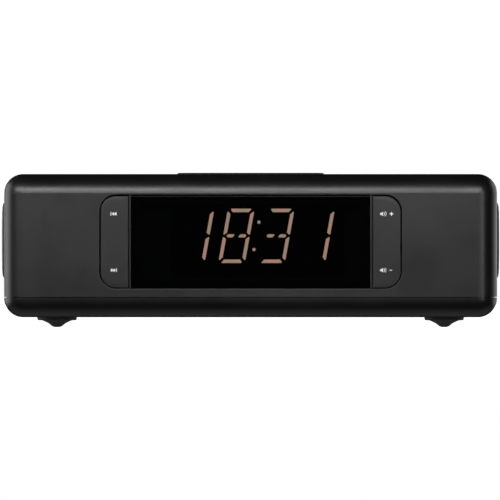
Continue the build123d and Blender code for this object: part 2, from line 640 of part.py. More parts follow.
def display_ribbon():
    """Leaves the display board towards the back and turns down into the main board."""
    y_start = DISPLAY_BOARD_Y + BOARD + 4
    bend = DISPLAY_SOCKET_Z - SOCKET_TOP_Z
    y_bend = DISPLAY_RIBBON_Y - bend
    level = Pos((y_start + y_bend) / 2, DISPLAY_SOCKET_Z) * Rectangle(
        y_bend - y_start, 2 * RIBBON_HALF)
    ring = Pos(y_bend, SOCKET_TOP_Z) * (Circle(bend + RIBBON_HALF) - Circle(bend - RIBBON_HALF))
    corner = Pos(y_bend + bend, SOCKET_TOP_Z + bend) * Rectangle(2 * bend, 2 * bend)
    x_low = RIBBON_X["display"] - RIBBON_WIDTH / 2
    plane = Plane(origin=(x_low, 0, 0), x_dir=(0, 1, 0), z_dir=(1, 0, 0))
    return extrude(plane * (level + (ring & corner)), RIBBON_WIDTH)


def top_ribbon():
    return prism_z(RIBBON_WIDTH, 2 * RIBBON_HALF, 0.1, SOCKET_TOP_Z, TOP_BOARD_Z - 4,
                   RIBBON_X["top"], TOP_RIBBON_Y)


JACK_FRONT_Y = 40.0
JACK_BODY_BACK_Y = 53.6
JACK_NOSE_Y = 55.2
DC_X, DC_Z = -34.0, MAIN_BOARD_TOP_Z + 6.0
AUX_X, AUX_Z = -14.0, MAIN_BOARD_TOP_Z + 3.4
USB_X, USB_Z = 10.0, MAIN_BOARD_TOP_Z + 3.4
AERIAL_X, AERIAL_Z = 34.0, JACK_PANEL_Z


def dc_jack():
    body = block(DC_X - 4.5, DC_X + 4.5, JACK_FRONT_Y, JACK_BODY_BACK_Y, MAIN_BOARD_TOP_Z,
                 MAIN_BOARD_TOP_Z + 11)
    nose = rod_y(3.9, JACK_BODY_BACK_Y - 0.2, JACK_NOSE_Y, DC_X, DC_Z)
    bore = rod_y(2.75, JACK_NOSE_Y - 9.5, JACK_NOSE_Y + 1, DC_X, DC_Z)
    return body + nose - bore


def dc_pin():
    pin = rod_y(1.05, JACK_NOSE_Y - 9.5, JACK_NOSE_Y - 0.8, DC_X, DC_Z)
    return fillet(pin.faces().sort_by(Axis.Y)[-1].edges(), 0.4)


def aux_jack():
    body = block(AUX_X - 3.5, AUX_X + 3.5, JACK_FRONT_Y, JACK_BODY_BACK_Y, MAIN_BOARD_TOP_Z,
                 MAIN_BOARD_TOP_Z + 6.6)
    nose = rod_y(3.0, JACK_BODY_BACK_Y - 0.2, JACK_NOSE_Y, AUX_X, AUX_Z)
    bore = rod_y(1.8, JACK_NOSE_Y - 14, JACK_NOSE_Y + 1, AUX_X, AUX_Z)
    return body + nose - bore


def usb_port():
    outer = prism_y(13.2, 5.8, 0.6, JACK_FRONT_Y, JACK_NOSE_Y, USB_X, USB_Z)
    inner = prism_y(12.5, 5.1, 0.3, JACK_FRONT_Y + 0.8, JACK_NOSE_Y + 1, USB_X, USB_Z)
    tongue = block(USB_X - 5.5, USB_X + 5.5, JACK_FRONT_Y + 0.5, JACK_NOSE_Y - 1.0, USB_Z + 0.3,
                   USB_Z + 2.1)
    foot_block = block(USB_X - 5, USB_X + 5, JACK_FRONT_Y, JACK_BODY_BACK_Y - 1,
                       MAIN_BOARD_TOP_Z, USB_Z - 2.8)
    return outer - inner + tongue + foot_block


def rear_panel():
    plate = prism_y(JACK_PANEL_WIDTH, JACK_PANEL_HEIGHT, 3.0, 53.7, 55.4, z=JACK_PANEL_Z)
    rim = prism_y(JACK_PANEL_WIDTH + 3.4, JACK_PANEL_HEIGHT + 3.4, 4.0, 52.5, 53.75,
                  z=JACK_PANEL_Z)
    rim_hollow = prism_y(JACK_PANEL_WIDTH - 3.6, JACK_PANEL_HEIGHT - 1.0, 2.0, 52, 53.7,
                         z=JACK_PANEL_Z)
    holes = [
        rod_y(4.1, 52, 57, DC_X, DC_Z),
        rod_y(3.2, 52, 57, AUX_X, AUX_Z),
        prism_y(13.8, 6.4, 0.7, 52, 57, USB_X, USB_Z),
        rod_y(2.6, 52, 57, AERIAL_X, AERIAL_Z),
    ]
    return plate + rim - rim_hollow - holes


def aerial_grommet():
    neck = rod_y(2.55, 53.6, 55.5, AERIAL_X, AERIAL_Z)
    inner_lip = rod_y(3.6, 52.6, 53.65, AERIAL_X, AERIAL_Z)
    outer_lip = rod_y(3.6, 55.45, BACK_Y, AERIAL_X, AERIAL_Z)
    outer_lip = fillet(outer_lip.faces().sort_by(Axis.Y)[-1].edges(), 0.3)
    return neck + inner_lip + outer_lip - rod_y(0.9, 52, 57, AERIAL_X, AERIAL_Z)


# ---------------------------------------------------------------- speakers, right hand one
def grille():
    """Perforated sheet pressed into a shallow pillow, with a flange behind the case wall."""
    crown_x = SIDE_X + GRILLE_BULGE
    base_x = INNER_SIDE_X - 1.2
    roll = GRILLE_BULGE - 0.1
    sheet = GRILLE_SHEET
    pillow = prism_x(GRILLE_LENGTH, GRILLE_HEIGHT, GRILLE_CORNER, base_x, crown_x, SPEAKER_Y,
                     SPEAKER_Z)
    pillow = fillet(pillow.faces().sort_by(Axis.X)[-1].edges(), roll)
    inside = prism_x(GRILLE_LENGTH - 2 * sheet, GRILLE_HEIGHT - 2 * sheet, GRILLE_CORNER - sheet,
                     base_x - 1, crown_x - sheet, SPEAKER_Y, SPEAKER_Z)
    inside = fillet(inside.faces().sort_by(Axis.X)[-1].edges(), roll - sheet)
    flange = prism_x(GRILLE_LENGTH + 2.4, GRILLE_HEIGHT + 2.4, GRILLE_CORNER + 1.2, base_x,
                     INNER_SIDE_X - 0.05, SPEAKER_Y, SPEAKER_Z)
    pitch, hole_radius = 3.0, 0.9
    row_step = pitch * math.sqrt(3) / 2
    holes = []
    for row in range(-4, 5):
        for column in range(-9, 10):
            y = (column + (row % 2) / 2) * pitch
            if abs(y) < GRILLE_LENGTH / 2 - 4:
                holes.append(rod_x(hole_radius, crown_x - 1.5, crown_x + 1, SPEAKER_Y + y,
                                   SPEAKER_Z + row * row_step))
    return (pillow + flange) - inside - holes


def speaker_gasket():
    ring = rod_x(19.0, SPEAKER_SEAT_X, INNER_SIDE_X - 1.25, SPEAKER_Y, SPEAKER_Z)
    return ring - rod_x(17.2, SPEAKER_SEAT_X - 1, SIDE_X, SPEAKER_Y, SPEAKER_Z)


def speaker_frame():
    flange = prism_x(45.0, 45.0, 3.0, SPEAKER_SEAT_X - 1.5, SPEAKER_SEAT_X, SPEAKER_Y, SPEAKER_Z)
    basket = spun_about_x(
        [(95.1, 17.1), (95.1, 18.4), (86.0, 13.4), (84.6, 13.4), (84.6, 5.4), (85.8, 5.4),
         (85.8, 12.4)], SPEAKER_Y, SPEAKER_Z)
    holes = [rod_x(17.1, 94, 98, SPEAKER_Y, SPEAKER_Z)]
    for y, z in speaker_screw_places():
        holes.append(rod_x(1.2, 94, 98, y, z))
    window = block(87.5, 93.0, -7, 7, 8, 22)
    windows = [
        Pos(0, SPEAKER_Y, SPEAKER_Z) * Rot(quarter * 90, 0, 0) * window for quarter in range(4)
    ]
    return flange + basket - holes - windows


def speaker_magnet():
    ring = rod_x(12.5, 77.5, 84.55, SPEAKER_Y, SPEAKER_Z)
    gap = rod_x(5.4, 79.0, 85, SPEAKER_Y, SPEAKER_Z)
    pole = rod_x(4.0, 78.5, 85.5, SPEAKER_Y, SPEAKER_Z)
    return ring - gap + pole


def speaker_cone():
    """Paper cone, dust cap and the voice coil that runs in the gap of the magnet."""
    wall = make_face(Polyline(
        (94.7, CONE_RADIUS - 0.4), (94.7, CONE_RADIUS), (94.2, CONE_RADIUS), (88.2, 5.0),
        (83.5, 5.0), (83.5, 4.6), (88.7, 4.6), close=True))
    cap = Pos(86.0, 0) * (Circle(5.6) - Circle(5.2))
    cap &= Pos(91.6, 5.0) * Rectangle(6.0, 10.0)
    return Pos(0, SPEAKER_Y, SPEAKER_Z) * revolve(wall + cap, Axis.X)


def speaker_surround():
    """Half roll that seals the gap round the cone."""
    profile = Pos(95.35, 15.4) * (Circle(1.6) - Circle(1.15))
    profile &= Pos(95.35 + 2, 15.4) * Rectangle(4, 6)
    lip = Pos(95.6, 16.8) * Rectangle(0.5, 0.6)
    return Pos(0, SPEAKER_Y, SPEAKER_Z) * revolve(profile + lip, Axis.X)


def speaker_terminals():
    tag = block(90.0, SPEAKER_SEAT_X - 1.5, -8.0, 0.0, TERMINAL_Z, TERMINAL_Z + 1.2)
    return group([tag, mirrored(tag)])


def speaker_wires():
    """Two wires per side, from the terminals under the basket up to the main board."""
    z_low, z_high = TERMINAL_Z + 0.6, MAIN_BOARD_TOP_Z + 3.0
    wires = []
    for y in WIRE_Y:
        path = FilletPolyline((90.0, y, z_low), (74.5, y, z_low), (68.0, y, z_high),
                              (60.0, y, z_high), radius=4.5)
        start = Plane(origin=path @ 0, z_dir=path % 0)
        wire = sweep(start * Circle(WIRE_RADIUS), path=path)
        wires += [wire, mirrored(wire)]
    return group(wires)


# ---------------------------------------------------------------- battery and fasteners
def battery_door():
    half = DOOR_WIDTH / 2
    front, back = BATTERY_CENTRE_Y - DOOR_LENGTH / 2, BATTERY_CENTRE_Y + DOOR_LENGTH / 2
    plate = block(-half, half, front, back, BODY_BOTTOM, BODY_BOTTOM + DOOR_THICKNESS)
    tongues = block(-half - 0.8, half + 0.8, front, back, BODY_BOTTOM + 0.6, BODY_BOTTOM + 1.55)
    grip = [
        block(-9, 9, front + 3 + 2 * index, front + 4 + 2 * index, BODY_BOTTOM - 1,
              BODY_BOTTOM + 0.4)
        for index in range(4)
    ]
    return plate + tongues - grip


def backup_cells():
    cells = []
    for index, side in enumerate((-1, 1)):
        y = BATTERY_CENTRE_Y + side * (CELL_RADIUS + 0.4)
        z = BODY_BOTTOM + DOOR_THICKNESS + 0.6 + CELL_RADIUS
        can = rod_x(CELL_RADIUS, -CELL_LENGTH / 2, CELL_LENGTH / 2 - 1, y, z)
        can = fillet(can.edges(), 0.5)
        cell = can + rod_x(1.9, CELL_LENGTH / 2 - 1.1, CELL_LENGTH / 2, y, z)
        cells.append(cell if index else Pos(0, 0, 0) * mirrored(cell))
    return group(cells)


def battery_contacts():
    leaves = []
    z = BODY_BOTTOM + DOOR_THICKNESS + 0.6 + CELL_RADIUS
    for end in (-1, 1):
        for side in (-1, 1):
            y = BATTERY_CENTRE_Y + side * (CELL_RADIUS + 0.4)
            plate = prism_x(8.0, 8.0, 1.0, 26.0, 26.4, y, z)
            dome = rod_x(1.8, 22.4, 26.1, y, z) if side * end > 0 else rod_x(2.6, 22.4, 26.1, y, z)
            leaf = plate + dome
            leaves.append(leaf if end > 0 else mirrored(leaf))
    return group(leaves)


def pan_screw(shank_radius, head_radius, length, head_height):
    """A small screw that points along +Z, with the underside of its head at the origin."""
    head = rod_z(head_radius, -head_height, 0)
    head = fillet(head.faces().sort_by(Axis.Z)[0].edges(), head_height / 2)
    slots = [
        block(-head_radius * 0.6, head_radius * 0.6, -0.25, 0.25, -head_height - 1,
              -head_height + 0.5),
        block(-0.25, 0.25, -head_radius * 0.6, head_radius * 0.6, -head_height - 1,
              -head_height + 0.5),
    ]
    return head + rod_z(shank_radius, -0.1, length) - slots


def board_screws():
    upward = pan_screw(0.95, 2.0, 8.0, 1.4)
    downward = Rot(180, 0, 0) * pan_screw(0.95, 2.0, 8.0, 1.4)
    screws = [Pos(x, y, TOP_BOARD_Z) * upward for x, y in TOP_BOARD_SCREWS]
    screws += [Pos(x, y, MAIN_BOARD_TOP_Z) * downward for x, y in MAIN_BOARD_SCREWS]
    return group(screws)


def frame_screws():
    forward = Rot(90, 0, 0) * pan_screw(0.95, 2.2, 6.0, 1.4)
    return group([
        Pos(side * FRAME_TAB_X, WING_BACK_Y, z) * forward
        for side in (-1, 1) for z in FRAME_TAB_Z
    ])


def speaker_screws():
    outward = Rot(0, 90, 0) * pan_screw(0.95, 2.0, 4.6, 1.2)
    screws = []
    for y, z in speaker_screw_places():
        screw = Pos(SPEAKER_SEAT_X - 1.5, y, z) * outward
        screws += [screw, mirrored(screw)]
    return group(screws)


# ---------------------------------------------------------------- build every node
os.makedirs("parts", exist_ok=True)

lit_bars, unlit_bars = display_bars()
nodes = {
    "upper_case": upper_case(),
    "lower_case": lower_case(),
    "rear_panel": rear_panel(),
    "display_window": display_window(),
    "display_frame": display_frame(),
    "segment_housing": segment_housing(lit_bars + unlit_bars),
    "lit_segments": group(lit_bars),
    "unlit_segments": group(unlit_bars),
    "display_board": display_board(),
    "front_switches": front_switches(),
    "volume_key": volume_key(),
    "track_key": mirrored(volume_key()),
    "volume_key_pin": volume_key_pin(),
    "track_key_pin": mirrored(volume_key_pin()),
    "snooze_bar": snooze_bar(),
    "snooze_springs": snooze_springs(),
    "top_board": top_board(),
    "top_switches": top_switches(),
    "main_board": main_board(),
    "main_chip": on_board(12, 12, 1.6, -6, 14),
    "amplifier_chip": on_board(8, 6, 1.6, -24, 26),
    "tuner_shield": tuner_shield(),
    "capacitors": capacitors(),
    "board_sockets": board_sockets(),
    "display_ribbon": display_ribbon(),
    "top_ribbon": top_ribbon(),
    "dc_jack": dc_jack(),
    "dc_pin": dc_pin(),
    "aux_jack": aux_jack(),
    "usb_port": usb_port(),
    "aerial_grommet": aerial_grommet(),
    "speaker_terminals": speaker_terminals(),
    "speaker_wires": speaker_wires(),
    "battery_door": battery_door(),
    "backup_cells": backup_cells(),
    "battery_contacts": battery_contacts(),
    "case_screws": case_screws(),
    "board_screws": board_screws(),
    "frame_screws": frame_screws(),
    "speaker_screws": speaker_screws(),
}
for name, x in TOP_KEYS.items():
    nodes[name] = top_key(x)
for corner, (x, y) in FOOT_PLACES.items():
    nodes[f"{corner}_foot"] = foot(x, y)
for name, right_hand in {
    "grille": grille(),
    "speaker_gasket": speaker_gasket(),
    "speaker_frame": speaker_frame(),
    "speaker_magnet": speaker_magnet(),
    "speaker_cone": speaker_cone(),
    "speaker_surround": speaker_surround(),
}.items():
    nodes[f"right_{name}"] = right_hand
    nodes[f"left_{name}"] = mirrored(right_hand)

for name, shape in nodes.items():
    save(name, shape)
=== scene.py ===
import json
import math

import bmesh
import bpy
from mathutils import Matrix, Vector
from mathutils.geometry import delaunay_2d_cdt


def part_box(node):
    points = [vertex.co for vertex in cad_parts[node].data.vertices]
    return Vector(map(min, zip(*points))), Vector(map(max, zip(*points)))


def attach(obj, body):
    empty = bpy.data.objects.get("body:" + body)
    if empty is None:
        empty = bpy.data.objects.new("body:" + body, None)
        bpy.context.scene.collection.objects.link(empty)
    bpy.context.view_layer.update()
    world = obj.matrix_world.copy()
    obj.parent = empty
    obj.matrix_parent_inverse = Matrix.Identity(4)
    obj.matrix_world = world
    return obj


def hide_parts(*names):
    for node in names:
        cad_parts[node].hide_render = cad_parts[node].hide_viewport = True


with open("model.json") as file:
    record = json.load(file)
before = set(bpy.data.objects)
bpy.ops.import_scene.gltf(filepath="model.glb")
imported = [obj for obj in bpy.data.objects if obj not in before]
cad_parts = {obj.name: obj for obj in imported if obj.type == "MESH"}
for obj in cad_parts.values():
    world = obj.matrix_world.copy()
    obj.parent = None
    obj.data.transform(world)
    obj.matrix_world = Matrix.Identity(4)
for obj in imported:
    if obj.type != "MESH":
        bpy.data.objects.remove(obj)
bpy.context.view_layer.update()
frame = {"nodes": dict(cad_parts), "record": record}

MM = 0.001
NODES = frame["nodes"]


# ---------------------------------------------------------------- places read from the frame
def middle(node):
    low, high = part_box(node)
    return (Vector(low) + Vector(high)) / 2


def lowest(node):
    return Vector(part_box(node)[0])


def highest(node):
    return Vector(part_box(node)[1])


BODY_LOW = lowest("lower_case")
BODY_HIGH = highest("upper_case")
FRONT_Y = BODY_LOW.y
BODY_CENTRE = (BODY_LOW + BODY_HIGH) / 2


# ---------------------------------------------------------------- material helpers
def shader_node(tree, kind, inputs=None, **settings):
    """A node with its settings, and its inputs given as values or as sockets to link."""
    made = tree.nodes.new(kind)
    for name, value in settings.items():
        setattr(made, name, value)
    for name, value in (inputs or {}).items():
        if isinstance(value, bpy.types.NodeSocket):
            tree.links.new(value, made.inputs[name])
        else:
            made.inputs[name].default_value = value
    return made


def blank_material(name):
    made = bpy.data.materials.new(name)
    made.use_nodes = True
    return made, made.node_tree, made.node_tree.nodes["Principled BSDF"]


def rgba(colour, gain=1.0):
    return (colour[0] * gain, colour[1] * gain, colour[2] * gain, 1.0)


def object_coordinates(tree):
    return shader_node(tree, "ShaderNodeTexCoord").outputs["Object"]


def noise(tree, size, detail=2.0, roughness=0.5, stretch=None):
    """Noise whose features are about size metres across, with an optional stretch by axis."""
    where = object_coordinates(tree)
    if stretch is not None:
        mapping = shader_node(tree, "ShaderNodeMapping", {"Vector": where, "Scale": stretch})
        where = mapping.outputs[0]
    inputs = {"Vector": where, "Scale": 1.0 / size, "Detail": detail, "Roughness": roughness}
    return shader_node(tree, "ShaderNodeTexNoise", inputs).outputs["Fac"]


def arithmetic(tree, operation, first, second=0.0):
    made = shader_node(tree, "ShaderNodeMath", operation=operation)
    for index, value in enumerate((first, second)):
        if isinstance(value, bpy.types.NodeSocket):
            tree.links.new(value, made.inputs[index])
        else:
            made.inputs[index].default_value = value
    return made.outputs[0]


def remap(tree, value, low, high, to_low, to_high):
    inputs = {"Value": value, "From Min": low, "From Max": high,
              "To Min": to_low, "To Max": to_high}
    return shader_node(tree, "ShaderNodeMapRange", inputs).outputs[0]


def blend(tree, factor, first, second):
    """A colour between two colours, each a tuple or a socket."""
    made = shader_node(tree, "ShaderNodeMix", data_type="RGBA")
    for index, value in ((0, factor), (6, first), (7, second)):
        if isinstance(value, bpy.types.NodeSocket):
            tree.links.new(value, made.inputs[index])
        else:
            made.inputs[index].default_value = value
    return made.outputs[2]


def edge_mask(tree, radius):
    """1 on sharp edges and 0 on flat ground, from how far rounding turns the normal."""
    rounded = shader_node(tree, "ShaderNodeBevel", {"Radius": radius}, samples=6).outputs[0]
    flat = shader_node(tree, "ShaderNodeNewGeometry").outputs["Normal"]
    dot = shader_node(tree, "ShaderNodeVectorMath", operation="DOT_PRODUCT")
    tree.links.new(rounded, dot.inputs[0])
    tree.links.new(flat, dot.inputs[1])
    return remap(tree, dot.outputs["Value"], 0.82, 0.995, 1.0, 0.0)


def bump(tree, shader, height, depth, strength=1.0):
    made = shader_node(tree, "ShaderNodeBump",
                       {"Height": height, "Distance": depth, "Strength": strength})
    tree.links.new(made.outputs[0], shader.inputs["Normal"])


# ---------------------------------------------------------------- materials
WINDOW_ALPHA = 0.7
WINDOW_FACES = 2  # the light of the figures passes the back and the front of the window


def moulded_plastic(name, colour, roughness, grain=0.35 * MM, depth=0.012 * MM, wear=0.5,
                    specular=0.5):
    """Spark-eroded moulding: fine grain, a slow change of gloss, and edges rubbed shinier."""
    made, tree, shader = blank_material(name)
    fine = noise(tree, grain, detail=3.0, roughness=0.6)
    cloudy = noise(tree, 22 * MM, detail=3.0)
    edges = edge_mask(tree, 0.45 * MM)
    ground = blend(tree, cloudy, rgba(colour, 0.86), rgba(colour, 1.14))
    worn = arithmetic(tree, "MULTIPLY", edges, wear)
    tree.links.new(blend(tree, worn, ground, rgba(colour, 2.2)), shader.inputs["Base Color"])
    gloss = remap(tree, cloudy, 0.3, 0.7, roughness - 0.035, roughness + 0.035)
    gloss = arithmetic(tree, "ADD", gloss, remap(tree, fine, 0.3, 0.7, -0.03, 0.03))
    gloss = arithmetic(tree, "SUBTRACT", gloss, arithmetic(tree, "MULTIPLY", edges, 0.08 * wear))
    tree.links.new(gloss, shader.inputs["Roughness"])
    bump(tree, shader, fine, depth)
    shader.inputs["Specular IOR Level"].default_value = specular
    return made


def smoked_acrylic(name):
    """Polished dark window: mostly opaque, so only what is lit shows through."""
    made, tree, shader = blank_material(name)
    shader.inputs["Base Color"].default_value = (0.0003, 0.0003, 0.00035, 1.0)
    haze = noise(tree, 30 * MM, detail=2.0)
    tree.links.new(remap(tree, haze, 0.3, 0.7, 0.045, 0.075), shader.inputs["Roughness"])
    bump(tree, shader, noise(tree, 14 * MM, detail=1.0), 0.004 * MM)
    shader.inputs["IOR"].default_value = 1.49
    shader.inputs["Alpha"].default_value = WINDOW_ALPHA
    return made


def lit_epoxy(name):
    """Light spread by cloudy epoxy: it drifts from warm pink to tan, and dims at the edges."""
    made, tree, shader = blank_material(name)
    shader.inputs["Base Color"].default_value = (0.25, 0.2, 0.18, 1.0)
    shader.inputs["Roughness"].default_value = 0.55
    drift = noise(tree, 4.2 * MM, detail=1.0)
    warm = (0.375, 0.205, 0.158, 1.0)
    pale = (0.285, 0.215, 0.158, 1.0)
    glow = blend(tree, remap(tree, drift, 0.35, 0.65, 0.0, 1.0), warm, pale)
    edges = edge_mask(tree, 0.5 * MM)
    glow = blend(tree, arithmetic(tree, "MULTIPLY", edges, 0.45), glow, (0.07, 0.03, 0.022, 1.0))
    tree.links.new(glow, shader.inputs["Emission Color"])
    shader.inputs["Emission Strength"].default_value = 1.0 / (1.0 - WINDOW_ALPHA) ** WINDOW_FACES
    return made


def speckled(name, dark, light, size, roughness, depth, contrast=(0.35, 0.65), metallic=0.0):
    """A body of mixed grains: foam, ferrite, pressed paper, rubber, sintered parts."""
    made, tree, shader = blank_material(name)
    grains = noise(tree, size, detail=4.0, roughness=0.65)
    patches = noise(tree, size * 18, detail=2.0)
    mixed = remap(tree, grains, contrast[0], contrast[1], 0.0, 1.0)
    mixed = arithmetic(tree, "MULTIPLY", mixed, remap(tree, patches, 0.25, 0.75, 0.6, 1.0))
    tree.links.new(blend(tree, mixed, rgba(dark), rgba(light)), shader.inputs["Base Color"])
    gloss = remap(tree, grains, 0.3, 0.7, roughness + 0.06, roughness - 0.06)
    tree.links.new(gloss, shader.inputs["Roughness"])
    bump(tree, shader, grains, depth)
    shader.inputs["Metallic"].default_value = metallic
    return made


def worked_metal(name, colour, roughness, stretch=(1.0, 14.0, 14.0), size=0.6 * MM, tarnish=0.2):
    """Metal with drawn or brushed streaks, and a light uneven tarnish."""
    made, tree, shader = blank_material(name)
    streaks = noise(tree, size, detail=3.0, stretch=stretch)
    stain = noise(tree, 5 * MM, detail=3.0)
    clouded = arithmetic(tree, "MULTIPLY", remap(tree, stain, 0.4, 0.7, 0.0, 1.0), tarnish)
    tree.links.new(blend(tree, clouded, rgba(colour), rgba(colour, 0.5)),
                   shader.inputs["Base Color"])
    gloss = remap(tree, streaks, 0.3, 0.7, roughness - 0.08, roughness + 0.1)
    tree.links.new(arithmetic(tree, "ADD", gloss, arithmetic(tree, "MULTIPLY", clouded, 0.3)),
                   shader.inputs["Roughness"])
    bump(tree, shader, streaks, 0.006 * MM)
    shader.inputs["Metallic"].default_value = 1.0
    return made


def circuit_board(name):
    """Green solder mask with paler tracks showing through, and bare pads."""
    made, tree, shader = blank_material(name)
    where = object_coordinates(tree)
    tracks = shader_node(tree, "ShaderNodeTexBrick", {
        "Vector": where, "Scale": 1.0 / (9 * MM), "Color1": (0, 0, 0, 1), "Color2": (0, 0, 0, 1),
        "Mortar": (1, 1, 1, 1), "Mortar Size": 0.035, "Brick Width": 1.3, "Row Height": 0.28,
    }, offset=0.37).outputs["Color"]
    weave = noise(tree, 0.4 * MM, detail=2.0)
    mask = blend(tree, weave, (0.008, 0.06, 0.02, 1.0), (0.014, 0.09, 0.032, 1.0))
    copper = blend(tree, weave, (0.03, 0.17, 0.06, 1.0), (0.04, 0.2, 0.075, 1.0))
    inked = blend(tree, tracks, mask, copper)
    pads = shader_node(tree, "ShaderNodeTexVoronoi",
                       {"Vector": where, "Scale": 1.0 / (3.4 * MM), "Randomness": 0.35})
    pad = remap(tree, pads.outputs["Distance"], 0.09, 0.13, 1.0, 0.0)
    tree.links.new(blend(tree, pad, inked, (0.55, 0.5, 0.42, 1.0)), shader.inputs["Base Color"])
    tree.links.new(pad, shader.inputs["Metallic"])
    tree.links.new(remap(tree, weave, 0.3, 0.7, 0.24, 0.34), shader.inputs["Roughness"])
    relief = arithmetic(tree, "ADD", tracks, pad)
    bump(tree, shader, relief, 0.03 * MM)
    return made


def banded(name, first, second, period, axis, roughness):
    """Stripes of two colours along one axis, for ribbon cable."""
    made, tree, shader = blank_material(name)
    spread = shader_node(tree, "ShaderNodeSeparateXYZ", {"Vector": object_coordinates(tree)})
    wave = arithmetic(tree, "SINE", arithmetic(
        tree, "MULTIPLY", spread.outputs[axis], 2 * math.pi / period))
    tint = noise(tree, 3 * MM)
    colour = blend(tree, remap(tree, wave, -1.0, 1.0, 0.0, 1.0), rgba(first), rgba(second))
    tree.links.new(blend(tree, remap(tree, tint, 0.3, 0.7, 0.0, 0.15), colour, rgba(first, 0.6)),
                   shader.inputs["Base Color"])
    shader.inputs["Roughness"].default_value = roughness
    bump(tree, shader, wave, 0.12 * MM)
    return made


def cell_jacket(name):
    """Plain metallic jacket with a darker band near one end and bare steel ends."""
    made, tree, shader = blank_material(name)
    along = shader_node(tree, "ShaderNodeSeparateXYZ",
                        {"Vector": object_coordinates(tree)}).outputs["X"]
    low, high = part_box("backup_cells")
    length = high[0] - low[0]
    share = remap(tree, along, low[0], high[0], 0.0, 1.0)
    band = remap(tree, arithmetic(tree, "ABSOLUTE", arithmetic(tree, "SUBTRACT", share, 0.5)),
                 0.2, 0.203, 0.0, 1.0)
    scuffs = noise(tree, 1.5 * MM, detail=4.0, stretch=(1.0, 5.0, 5.0))
    colour = blend(tree, band, (0.32, 0.34, 0.38, 1.0), (0.03, 0.035, 0.05, 1.0))
    tree.links.new(blend(tree, remap(tree, scuffs, 0.6, 0.8, 0.0, 0.5), colour,
                         (0.5, 0.5, 0.5, 1.0)), shader.inputs["Base Color"])
    tree.links.new(remap(tree, scuffs, 0.3, 0.7, 0.25, 0.4), shader.inputs["Roughness"])
    shader.inputs["Metallic"].default_value = 0.6
    bump(tree, shader, scuffs, length * 0.0001)
    return made


BLACK = (0.0032, 0.0031, 0.0032)

LOOKS = {
    "case_black": moulded_plastic("case plastic", BLACK, 0.37),
    "key_black": moulded_plastic("key plastic", (0.005, 0.0048, 0.005), 0.385, grain=0.3 * MM,
                                 depth=0.009 * MM),
    "window_smoke": smoked_acrylic("smoked acrylic"),
    "frame_black": moulded_plastic("frame plastic", (0.004, 0.004, 0.004), 0.5, depth=0.006 * MM,
                                   specular=0.12),
    "housing_grey": moulded_plastic("housing plastic", (0.002, 0.002, 0.002), 0.75, specular=0.1),
    "segment_red": lit_epoxy("lit epoxy"),
    "segment_dark": moulded_plastic("dark epoxy", (0.004, 0.003, 0.003), 0.6, specular=0.15),
    "board_green": circuit_board("circuit board"),
    "switch_black": moulded_plastic("switch plastic", (0.02, 0.02, 0.02), 0.5),
    "pin_steel": worked_metal("ground steel", (0.6, 0.6, 0.62), 0.25),
    "screw_steel": worked_metal("zinc plated steel", (0.42, 0.42, 0.43), 0.35, tarnish=0.4),
    "spring_steel": worked_metal("spring wire", (0.6, 0.6, 0.6), 0.28),
    "chip_black": speckled("chip epoxy", (0.012, 0.012, 0.012), (0.03, 0.03, 0.03), 0.2 * MM, 0.55,
                           0.01 * MM),
    "shield_tin": worked_metal("tinned sheet", (0.68, 0.68, 0.67), 0.3, stretch=(1.0, 8.0, 1.0)),
    "can_sleeve": moulded_plastic("shrink sleeve", (0.02, 0.022, 0.06), 0.3),
    "socket_white": moulded_plastic("nylon", (0.62, 0.6, 0.53), 0.45, wear=0.1),
    "ribbon_grey": banded("ribbon cable", (0.42, 0.42, 0.43), (0.3, 0.3, 0.31), 1.27 * MM, "X",
                          0.45),
    "jack_black": moulded_plastic("jack plastic", (0.014, 0.014, 0.014), 0.4),
    "contact_brass": worked_metal("plated brass", (0.72, 0.58, 0.32), 0.25, tarnish=0.35),
    "port_steel": worked_metal("plated steel", (0.66, 0.65, 0.63), 0.28),
    "rubber_black": speckled("soft rubber", (0.035, 0.035, 0.035), (0.085, 0.085, 0.085), 0.4 * MM,
                             0.72, 0.05 * MM),
    "grille_black": moulded_plastic("painted sheet", (0.008, 0.008, 0.008), 0.44, grain=0.22 * MM,
                                    depth=0.01 * MM, wear=0.8),
    "gasket_foam": speckled("foam", (0.012, 0.012, 0.012), (0.06, 0.06, 0.06), 0.5 * MM, 0.9,
                            0.2 * MM),
    "frame_steel": moulded_plastic("painted steel", (0.03, 0.03, 0.032), 0.4, wear=0.8),
    "magnet_ferrite": speckled("ferrite", (0.03, 0.03, 0.032), (0.085, 0.085, 0.09), 0.3 * MM, 0.6,
                               0.03 * MM, metallic=0.3),
    "cone_paper": speckled("cone paper", (0.02, 0.02, 0.02), (0.06, 0.058, 0.055), 0.6 * MM, 0.85,
                           0.08 * MM),
    "wire_red": moulded_plastic("wire insulation", (0.3, 0.02, 0.015), 0.35, wear=0.1),
    "cell_jacket": cell_jacket("cell jacket"),
    "print_white": speckled("white print", (0.78, 0.78, 0.77), (0.9, 0.9, 0.89), 0.12 * MM, 0.5,
                            0.004 * MM),
}

for entry in frame["record"]["subparts"]:
    part = NODES[entry["node"]]
    part.data.materials.clear()
    part.data.materials.append(LOOKS[entry["material_slot"]])


# ---------------------------------------------------------------- mesh helpers
def mesh_piece(name, mesh, look, body):
    """A new piece from a bmesh, in its material and riding on its body."""
    data = bpy.data.meshes.new(name)
    mesh.to_mesh(data)
    mesh.free()
    piece = bpy.data.objects.new(name, data)
    bpy.context.scene.collection.objects.link(piece)
    data.materials.append(LOOKS[look])
    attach(piece, body)
    return piece


